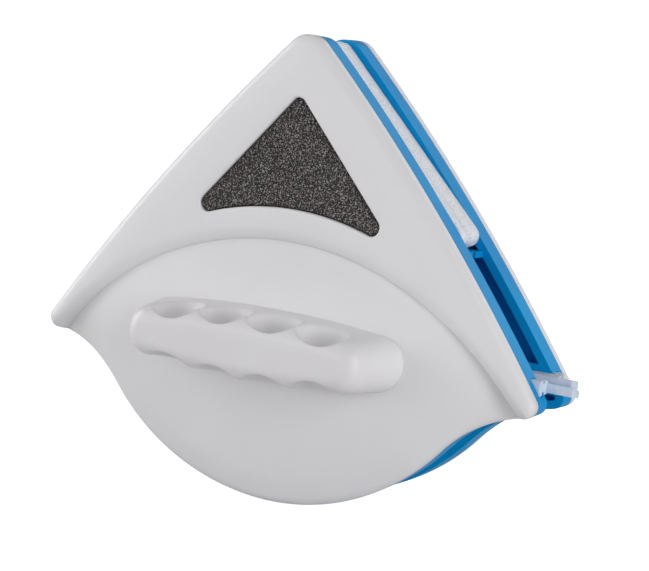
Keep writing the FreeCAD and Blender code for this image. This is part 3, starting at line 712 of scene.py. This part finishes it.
def rounded_corners(corners, radius, pitch):
    """Loop round a polygon with rounded corners, with outward normals. Corners run clockwise."""
    runs = []
    count = len(corners)
    starts = []
    for i in range(count):
        before, here, after = corners[i - 1], corners[i], corners[(i + 1) % count]
        u_in = unit(here - before)
        u_out = unit(after - here)
        n_in = np.array([-u_in[1], u_in[0]])
        n_out = np.array([-u_out[1], u_out[0]])
        bend = unit(n_in + n_out)
        centre = here - bend * radius / (bend @ n_in)
        starts.append((centre, n_in, n_out))
    for i in range(count):
        centre, n_in, n_out = starts[i]
        runs.append(arc_points(centre, radius, n_in, n_out, 10))
        following = starts[(i + 1) % count][0]
        length = np.linalg.norm(following - centre)
        runs.append(line_points(centre + n_out * radius, following + n_out * radius, n_out,
                                max(2, int(length / pitch))))
    return np.vstack([p for p, n in runs]), np.vstack([n for p, n in runs])


def upper_pad_loop():
    """Rounded triangle of the upper pad."""
    corners = [np.array([0.0, PAD_TOP_Z]), np.array([PAD_HALF_WIDTH, PAD_FOOT_Z]),
               np.array([-PAD_HALF_WIDTH, PAD_FOOT_Z])]
    return rounded_corners(corners, PAD_CORNER, PAD_PITCH)


def lower_pad_loop():
    """Half-moon of the lower pad."""
    radius = BELLY_RADIUS - LOWER_PAD_INSET
    centre = np.array([0.0, BELLY_CENTRE_Z])
    drop = BELLY_CENTRE_Z - LOWER_PAD_TOP_Z + PAD_CORNER
    corner_x = math.sqrt((radius - PAD_CORNER) ** 2 - drop ** 2)
    corner = np.array([corner_x, LOWER_PAD_TOP_Z - PAD_CORNER])
    runs = [line_points(np.array([0.0, LOWER_PAD_TOP_Z]), corner + np.array([0.0, PAD_CORNER]),
                        np.array([0.0, 1.0]), int(corner_x / PAD_PITCH)),
            arc_points(corner, PAD_CORNER, (0, 1), corner - centre, 10),
            arc_points(centre, radius, corner - centre, (0, -1), 66)]
    runs.append((np.array([[0.0, BELLY_CENTRE_Z - radius]]), np.array([[0.0, -1.0]])))
    return mirror_loop(np.vstack([p for p, n in runs]), np.vstack([n for p, n in runs]))


def tufts(x, depth, z, seed):
    """Uneven height of the cloth's pile at a point."""
    height = 0.0
    for fine, deep, weight in NAP_LAYERS:
        height += weight * noise.noise(Vector((x * fine, depth * deep, z * fine + seed)))
    return height


def pad_sides():
    """Inset and depth of each ring of a pad, from its back round to its face."""
    back = RIM - PAD_SINK
    sides = [(inset, back - fall) for inset, fall in PAD_BACK_ROUND]
    for share in np.linspace(0.1, 0.9, 8):
        inset = PAD_WAIST * (1 - math.sin(math.pi * share))
        sides.append((inset, back - PAD_SIDE_START - share * (back - PAD_SIDE_END)))
    for turn in np.radians(np.linspace(10, 90, 6)):
        inset = PAD_WAIST + PAD_ROLL * (1 - math.cos(turn))
        sides.append((inset, PAD_ROLL - PAD_ROLL_DEPTH * math.sin(turn)))
    return sides


def pad(name, side, loop, seed):
    """Cushion of pile cloth: soft rolled sides, a crowned face and an uneven nap."""
    shell = Shell()
    base, out = loop
    rows = []
    for number, (inset, depth) in enumerate(pad_sides()):
        points = base - inset * out
        if number >= len(PAD_BACK_ROUND):
            nap = np.array([tufts(x, depth, z, seed) for x, z in points])
            points = points - (PAD_WAIST - PAD_NAP * nap)[:, None] * out
        rows.append(shell.add(with_depth(points, depth)))
    shell.strip(rows)
    shell.cap(rows[0])
    rim = points
    grid = hex_grid(rim.min(axis=0), rim.max(axis=0), PAD_GRID)
    grid = grid[inside(grid, rim)]
    grid = grid[clear_of(grid, rim, PAD_GAP)]
    points, triangles = triangulate([rim], grid)
    free = points[len(rim):]
    nap = np.array([tufts(x, 0.0, z, seed) for x, z in free])
    depth = np.maximum(PAD_FACE, FACE_LEVEL - FACE_NAP * nap)
    ids = rows[-1] + shell.add(with_depth(free, depth))
    shell.faces += [tuple(ids[i] for i in triangle) for triangle in triangles]
    return shell.object(name, side, NO_SHARP)


# ---- Materials ------------------------------------------------------------------------

class Finish:
    """A node material whose pattern follows the part in millimetres."""

    def __init__(self, name, colour, roughness, **sockets):
        self.material = bpy.data.materials.new(name)
        self.material.use_nodes = True
        self.tree = self.material.node_tree
        self.shader = self.tree.nodes["Principled BSDF"]
        self.shader.inputs["Base Color"].default_value = (*colour, 1.0)
        self.shader.inputs["Roughness"].default_value = roughness
        for key, value in sockets.items():
            self.shader.inputs[key.replace("_", " ")].default_value = value
        place = self.tree.nodes.new("ShaderNodeTexCoord")
        self.scale = self.tree.nodes.new("ShaderNodeMapping")
        self.scale.inputs["Scale"].default_value = (1000.0, 1000.0, 1000.0)
        self.link(place.outputs["Object"], self.scale.inputs["Vector"])

    def link(self, source, target):
        """Joins two sockets."""
        self.tree.links.new(source, target)

    def noise(self, size, detail=2.0, roughness=0.5):
        """Noise whose features are about size millimetres across."""
        node = self.tree.nodes.new("ShaderNodeTexNoise")
        node.inputs["Scale"].default_value = 1.0 / size
        node.inputs["Detail"].default_value = detail
        node.inputs["Roughness"].default_value = roughness
        self.link(self.scale.outputs["Vector"], node.inputs["Vector"])
        return node.outputs["Fac"]

    def cells(self, size):
        """Voronoi cells about size millimetres across."""
        node = self.tree.nodes.new("ShaderNodeTexVoronoi")
        node.inputs["Scale"].default_value = 1.0 / size
        self.link(self.scale.outputs["Vector"], node.inputs["Vector"])
        return node.outputs["Distance"]

    def weave(self, size):
        """Ribs about size millimetres apart."""
        node = self.tree.nodes.new("ShaderNodeTexWave")
        node.inputs["Scale"].default_value = 0.314 / size
        node.inputs["Distortion"].default_value = 1.5
        node.inputs["Detail"].default_value = 1.0
        self.link(self.scale.outputs["Vector"], node.inputs["Vector"])
        return node.outputs["Fac"]

    def ramp(self, source, low, high, from_low=0.0, from_high=1.0):
        """Spreads a value between two limits."""
        node = self.tree.nodes.new("ShaderNodeMapRange")
        limits = {"From Min": from_low, "From Max": from_high, "To Min": low, "To Max": high}
        for key, value in limits.items():
            node.inputs[key].default_value = value
        self.link(source, node.inputs["Value"])
        return node.outputs["Result"]

    def total(self, a, b):
        """Sum of two values."""
        node = self.tree.nodes.new("ShaderNodeMath")
        self.link(a, node.inputs[0])
        self.link(b, node.inputs[1])
        return node.outputs["Value"]

    def colours(self, source, stops):
        """Colour from a value by (position, colour) stops."""
        node = self.tree.nodes.new("ShaderNodeValToRGB")
        ramp = node.color_ramp
        while len(ramp.elements) < len(stops):
            ramp.elements.new(0.5)
        for element, (position, colour) in zip(ramp.elements, stops):
            element.position = position
            element.color = (*colour, 1.0)
        self.link(source, node.inputs["Fac"])
        self.link(node.outputs["Color"], self.shader.inputs["Base Color"])

    def rough(self, source, low, high):
        """Roughness that varies between two limits."""
        self.link(self.ramp(source, low, high), self.shader.inputs["Roughness"])

    def bump(self, source, height_mm):
        """Surface relief from a value, added to any that is there."""
        node = self.tree.nodes.new("ShaderNodeBump")
        node.inputs["Strength"].default_value = 1.0
        node.inputs["Distance"].default_value = height_mm * MM
        self.link(source, node.inputs["Height"])
        earlier = self.shader.inputs["Normal"].links
        if earlier:
            self.link(earlier[0].from_socket, node.inputs["Normal"])
        self.link(node.outputs["Normal"], self.shader.inputs["Normal"])


def moulded(name, light, dark, roughness, grain=0.012, gloss=0.5):
    """Moulded plastic: faint flow shading, satin variation, fine grain and shallow sink marks."""
    finish = Finish(name, light, roughness, Specular_IOR_Level=gloss)
    flow = finish.noise(46.0, 3.0, 0.55)
    finish.colours(flow, [(0.38, dark), (0.62, light)])
    smear = finish.noise(9.0, 4.0, 0.6)
    finish.rough(smear, roughness - 0.07, roughness + 0.09)
    finish.bump(finish.noise(0.22, 3.0), grain)
    finish.bump(finish.noise(24.0, 1.0), 0.05)
    return finish


def sponge_finish():
    """Coarse dark sponge: black cells, brown-grey walls and painted highlights that stand for glints on the
    cut edges.
    """
    finish = Finish("sponge", (0.05, 0.045, 0.04), 0.75)
    cells = finish.cells(0.62)
    painted_glint_and_relief = finish.noise(0.42, 2.0, 0.7)
    # Painted highlight: where the glint noise is high the colour turns pale grey, standing in for light
    # catching the cut edges.
    tone_with_painted_light = finish.total(finish.ramp(cells, 0.0, 0.45, 0.1, 0.7),
                        finish.ramp(painted_glint_and_relief, 0.0, 0.75, 0.38, 0.72))
    finish.colours(tone_with_painted_light, [(0.18, (0.002, 0.002, 0.002)), (0.48, (0.013, 0.010, 0.009)),
                          (0.70, (0.045, 0.036, 0.032)), (0.86, (0.44, 0.42, 0.41))])
    finish.bump(painted_glint_and_relief, 0.5)
    finish.bump(cells, 0.35)
    return finish


def pile_finish():
    """White pile cloth: short tufts in rows, soft sheen and painted shade that makes the valleys slightly
    greyer.
    """
    finish = Finish("pile_cloth", (0.86, 0.86, 0.88), 0.95, Sheen_Weight=0.5, Sheen_Roughness=0.4)
    tuft = finish.cells(0.7)
    rib = finish.weave(1.5)
    nap = finish.noise(0.45, 3.0, 0.6)
    # Painted shade: the colour is greyer and bluer away from the middle of each tuft's cell.
    tone_with_painted_light = finish.total(finish.ramp(tuft, 0.55, 0.0, 0.1, 0.8),
                        finish.ramp(nap, 0.0, 0.5, 0.3, 0.7))
    finish.colours(tone_with_painted_light, [(0.15, (0.74, 0.76, 0.82)), (0.55, (0.88, 0.90, 0.94)),
                          (0.9, (0.95, 0.95, 0.96))])
    finish.bump(tuft, 0.08)
    finish.bump(rib, 0.05)
    finish.bump(nap, 0.08)
    return finish


def rubber_finish():
    """Milky squeegee rubber with a dusty bloom."""
    finish = Finish("white_rubber", (0.6, 0.7, 0.84), 0.45, Subsurface_Weight=0.5, Subsurface_Scale=0.002)
    bloom = finish.noise(3.5, 4.0, 0.65)
    finish.colours(bloom, [(0.3, (0.56, 0.68, 0.86)), (0.7, (0.78, 0.84, 0.92))])
    finish.rough(bloom, 0.34, 0.55)
    finish.bump(finish.noise(0.5, 2.0), 0.03)
    return finish


def metal_finish(name, colour, roughness, grain_mm, relief):
    """Metal with a fine grain and small tarnish patches."""
    finish = Finish(name, colour, roughness, Metallic=1.0)
    patch = finish.noise(5.0, 5.0, 0.65)
    worn = tuple(0.72 * v for v in colour)
    finish.colours(patch, [(0.35, worn), (0.6, colour)])
    finish.rough(patch, roughness - 0.08, roughness + 0.14)
    finish.bump(finish.noise(grain_mm, 3.0), relief)
    return finish


WHITE = moulded("white_shell", (0.80, 0.80, 0.815), (0.785, 0.775, 0.79), 0.34).material
GRIP_WHITE = moulded("handle_shell", (0.80, 0.79, 0.805), (0.79, 0.765, 0.785), 0.34).material
BLUE = moulded("blue_shell", (0.002, 0.335, 0.74), (0.002, 0.29, 0.68), 0.34, 0.01, 0.05).material
BLACK = moulded("black_tray", (0.03, 0.03, 0.032), (0.02, 0.02, 0.022), 0.45).material
SPONGE = sponge_finish().material
PILE = pile_finish().material
RUBBER = rubber_finish().material
NICKEL = metal_finish("nickel_plate", (0.66, 0.63, 0.58), 0.24, 0.3, 0.01).material
YOKE = metal_finish("yoke_steel", (0.5, 0.5, 0.52), 0.42, 0.5, 0.03).material
SCREW = metal_finish("screw_steel", (0.62, 0.62, 0.64), 0.32, 0.3, 0.015).material


def dress(piece, material, body, slot_name, *nodes):
    """Gives a new piece its material and body, and hides the CAD nodes that it stands for. Its slot name is
    not used.
    """
    piece.data.materials.clear()
    piece.data.materials.append(material)
    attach(piece, body)
    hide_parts(*nodes)


def paint(node, material):
    """Better material on a CAD node that stays."""
    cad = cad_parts[node]
    cad.data.materials.clear()
    cad.data.materials.append(material)


def soften(node, width):
    """Small rounded edges on a CAD node that stays."""
    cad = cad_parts[node]
    bevel = cad.modifiers.new("edges", "BEVEL")
    bevel.width = width * MM
    bevel.segments = 2
    bevel.limit_method = "ANGLE"
    bevel.angle_limit = math.radians(BASE_BEVEL_FROM)
    bevel.harden_normals = True
    cad.data.shade_smooth()
    cad.data.set_sharp_from_angle(angle=math.radians(BASE_SHARP))


def build_half(half, side, lip_end):
    """Every visible piece of one half."""
    body = half + "_half"
    blade_body = half + "_blade"
    dress(cover_shell(half, side), WHITE, body, "white_abs", half + "_cover_shell")
    dress(sponge(half, side), SPONGE, body, "dark_sponge", half + "_window_sponge")
    dress(handle(half, side), GRIP_WHITE, body, "handle_abs", half + "_handle_grip")
    dress(squeegee(half, side, lip_end), RUBBER, blade_body, "white_rubber", half + "_squeegee_blade")
    for where, loop, seed in (("upper", upper_pad_loop(), 3.0), ("lower", lower_pad_loop(), 40.0)):
        cushion = pad(half + "_" + where + "_pad", side, loop, seed + side)
        dress(cushion, PILE, body, "pad_cloth", half + "_" + where + "_pad_cloth",
              half + "_" + where + "_pad_core")
    paint(half + "_base_plate", BLUE)
    soften(half + "_base_plate", BASE_EDGE)
    paint(half + "_sponge_tray", BLACK)
    paint(half + "_magnet_left", NICKEL)
    paint(half + "_magnet_right", NICKEL)
    paint(half + "_magnet_yoke", YOKE)
    for screws in ("_case_screws", "_yoke_screws", "_handle_screws"):
        paint(half + screws, SCREW)


# ---- Stage ----------------------------------------------------------------------------

def floor():
    """Plain pale floor under the part, brighter to the camera than as a light."""
    bpy.ops.mesh.primitive_plane_add(size=FLOOR_SIZE, location=(0, 0, CAD_BOX[0][2] - FLOOR_GAP))
    plane = bpy.context.object
    plane.name = "floor"
    material = bpy.data.materials.new("floor")
    material.use_nodes = True
    nodes = material.node_tree.nodes
    links = material.node_tree.links
    shader = nodes["Principled BSDF"]
    shader.inputs["Base Color"].default_value = (FLOOR_GREY, FLOOR_GREY, FLOOR_GREY, 1.0)
    shader.inputs["Roughness"].default_value = 1.0
    shader.inputs["Specular IOR Level"].default_value = 0.0
    glow = nodes.new("ShaderNodeEmission")
    glow.inputs["Strength"].default_value = FLOOR_GLOW
    path = nodes.new("ShaderNodeLightPath")
    seen = nodes.new("ShaderNodeMixShader")
    both = nodes.new("ShaderNodeAddShader")
    links.new(shader.outputs["BSDF"], both.inputs[0])
    links.new(glow.outputs["Emission"], both.inputs[1])
    links.new(path.outputs["Is Camera Ray"], seen.inputs["Fac"])
    links.new(shader.outputs["BSDF"], seen.inputs[1])
    links.new(both.outputs["Shader"], seen.inputs[2])
    links.new(seen.outputs["Shader"], nodes["Material Output"].inputs["Surface"])
    plane.data.materials.append(material)


def from_angles(azimuth, elevation):
    """Direction from the part, in radians. Azimuth 0 is in front and goes round to the right."""
    level = math.cos(elevation)
    return Vector((math.sin(azimuth) * level, -math.cos(azimuth) * level, math.sin(elevation)))


def softbox(name, azimuth, elevation, distance, size, power):
    """Large soft area light aimed at the part."""
    data = bpy.data.lights.new(name, "AREA")
    data.shape = "RECTANGLE"
    data.size = size[0]
    data.size_y = size[1]
    data.energy = power
    lamp = bpy.data.objects.new(name, data)
    back = from_angles(math.radians(azimuth), math.radians(elevation))
    lamp.location = Vector(LIGHT_TARGET) * MM + back * distance
    lamp.rotation_mode = "QUATERNION"
    lamp.rotation_quaternion = back.to_track_quat("Z", "Y")
    bpy.context.scene.collection.objects.link(lamp)


def sky():
    """White surroundings, dimmer as a light than they look, most of all overhead."""
    world = bpy.data.worlds.new("studio")
    bpy.context.scene.world = world
    world.use_nodes = True
    nodes = world.node_tree.nodes
    links = world.node_tree.links
    nodes.clear()
    out = nodes.new("ShaderNodeOutputWorld")
    mix = nodes.new("ShaderNodeMixShader")
    path = nodes.new("ShaderNodeLightPath")
    lit = nodes.new("ShaderNodeBackground")
    seen = nodes.new("ShaderNodeBackground")
    lit.inputs["Color"].default_value = (1.0, 1.0, 1.0, 1.0)
    place = nodes.new("ShaderNodeTexCoord")
    split = nodes.new("ShaderNodeSeparateXYZ")
    height = nodes.new("ShaderNodeMapRange")
    height.inputs["To Min"].default_value = SKY_LOW
    height.inputs["To Max"].default_value = SKY_HIGH
    links.new(place.outputs["Generated"], split.inputs["Vector"])
    links.new(split.outputs["Z"], height.inputs["Value"])
    links.new(height.outputs["Result"], lit.inputs["Strength"])
    seen.inputs["Color"].default_value = (1.0, 1.0, 1.0, 1.0)
    seen.inputs["Strength"].default_value = SKY_SEEN
    links.new(path.outputs["Is Camera Ray"], mix.inputs["Fac"])
    links.new(lit.outputs["Background"], mix.inputs[1])
    links.new(seen.outputs["Background"], mix.inputs[2])
    links.new(mix.outputs["Shader"], out.inputs["Surface"])


def camera():
    """Camera at the photograph's viewing angle, a little rolled."""
    roll = math.radians(CAMERA_ROLL)
    back = from_angles(math.radians(CAMERA_AZIMUTH), math.radians(CAMERA_ELEVATION))
    right = (-back).cross(Vector((0, 0, 1))).normalized()
    up = right.cross(-back)
    x_axis = right * math.cos(roll) + up * math.sin(roll)
    y_axis = up * math.cos(roll) - right * math.sin(roll)
    data = bpy.data.cameras.new("camera")
    data.sensor_width = CAMERA_SENSOR
    data.lens = CAMERA_LENS
    data.clip_start = 0.05
    data.clip_end = 60.0
    view = bpy.data.objects.new("camera", data)
    turn = Matrix((x_axis, y_axis, back)).transposed().to_4x4()
    place = (Vector(CAMERA_TARGET) + back * CAMERA_DISTANCE) * MM
    view.matrix_world = Matrix.Translation(place) @ turn
    bpy.context.scene.collection.objects.link(view)
    bpy.context.scene.camera = view


camera()
for half_name, half_side, lip_right in HALVES:
    build_half(half_name, half_side, lip_right)
floor()
sky()
for light in LIGHTS:
    softbox(*light)
bpy.context.scene.view_settings.view_transform = "Standard"
